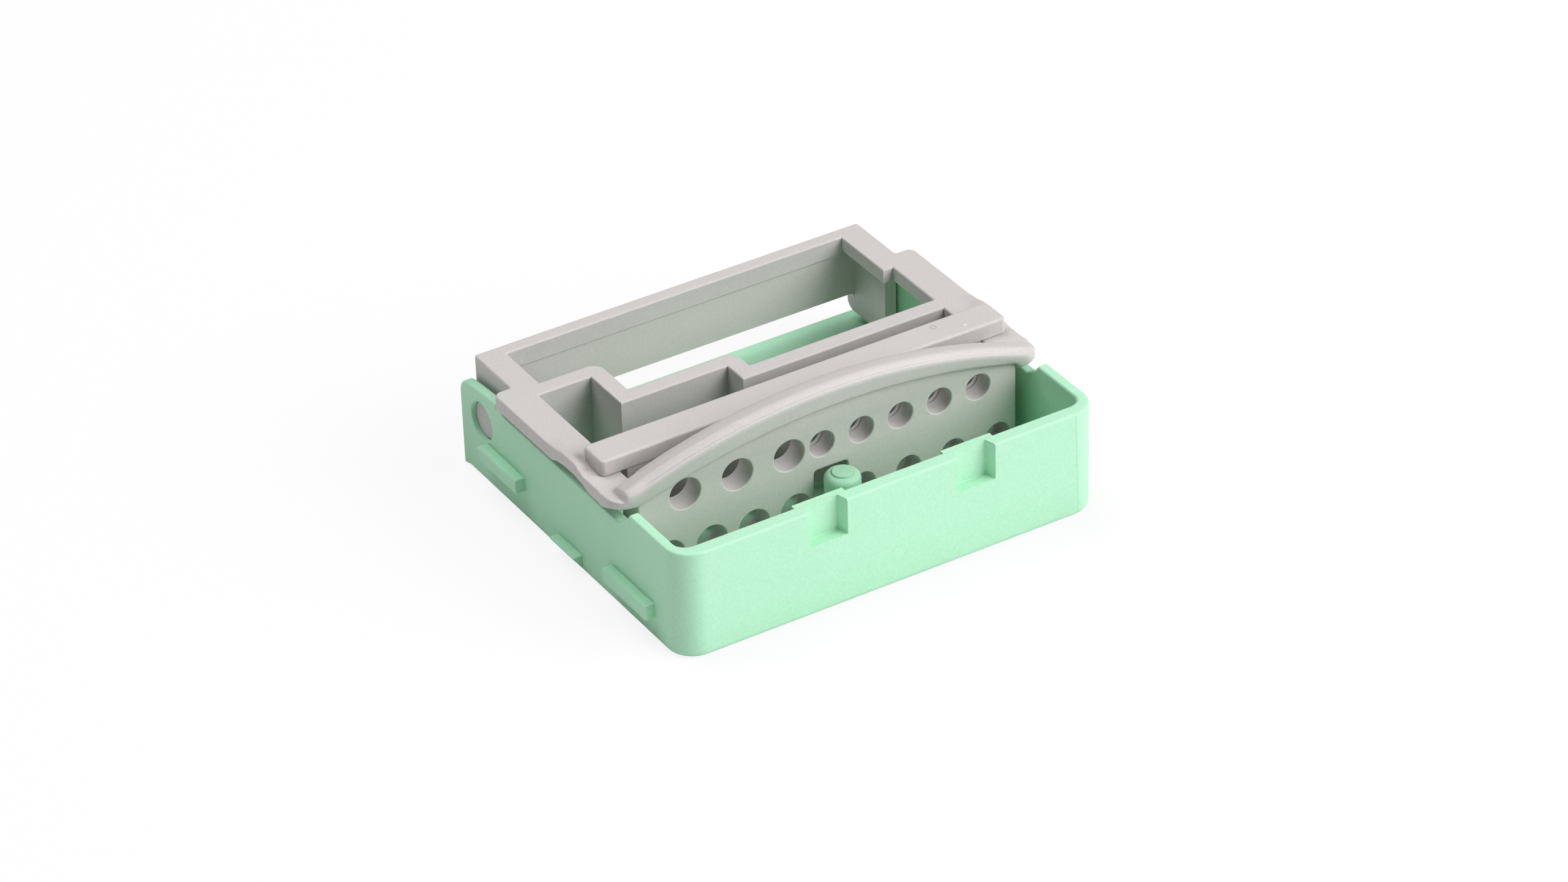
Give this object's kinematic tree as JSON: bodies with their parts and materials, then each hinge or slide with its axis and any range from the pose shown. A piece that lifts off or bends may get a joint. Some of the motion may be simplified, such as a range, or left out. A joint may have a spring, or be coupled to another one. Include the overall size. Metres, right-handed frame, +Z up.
{
  "type": "dental bur holder",
  "caption": "Two-tone plastic stand for dental burs: an open-backed tray, a hinged holder block with two rows of holes, and a sliding lock bar.",
  "frame": {"origin": "centre of the tray's footprint, on the surface it stands on", "axes": "+X to the right side wall, -Y to the tall front wall, +Z up"},
  "size_m": [0.0586, 0.0494, 0.0202],
  "materials": {
    "tray_plastic": "fine satin moulded plastic, mint green",
    "block_plastic": "fine satin moulded plastic, warm light grey",
    "bar_plastic": "fine satin moulded plastic, warm light grey"
  },
  "bodies": {
    "tray": {"base_tray": "tray_plastic"},
    "block": {"bur_block": "block_plastic"},
    "bar": {"lock_bar": "bar_plastic"}
  },
  "joints": [
    {"name": "block_hinge", "type": "hinge", "parent": "tray", "child": "block", "pos_m": [0, 0.01975, 0.00825], "axis": [-1, 0, 0], "range_deg": [0, 90]},
    {"name": "bar_slide", "type": "slide", "parent": "block", "child": "bar", "axis": [1, 0, 0], "range_m": [-0.0008, 0]}
  ]
}
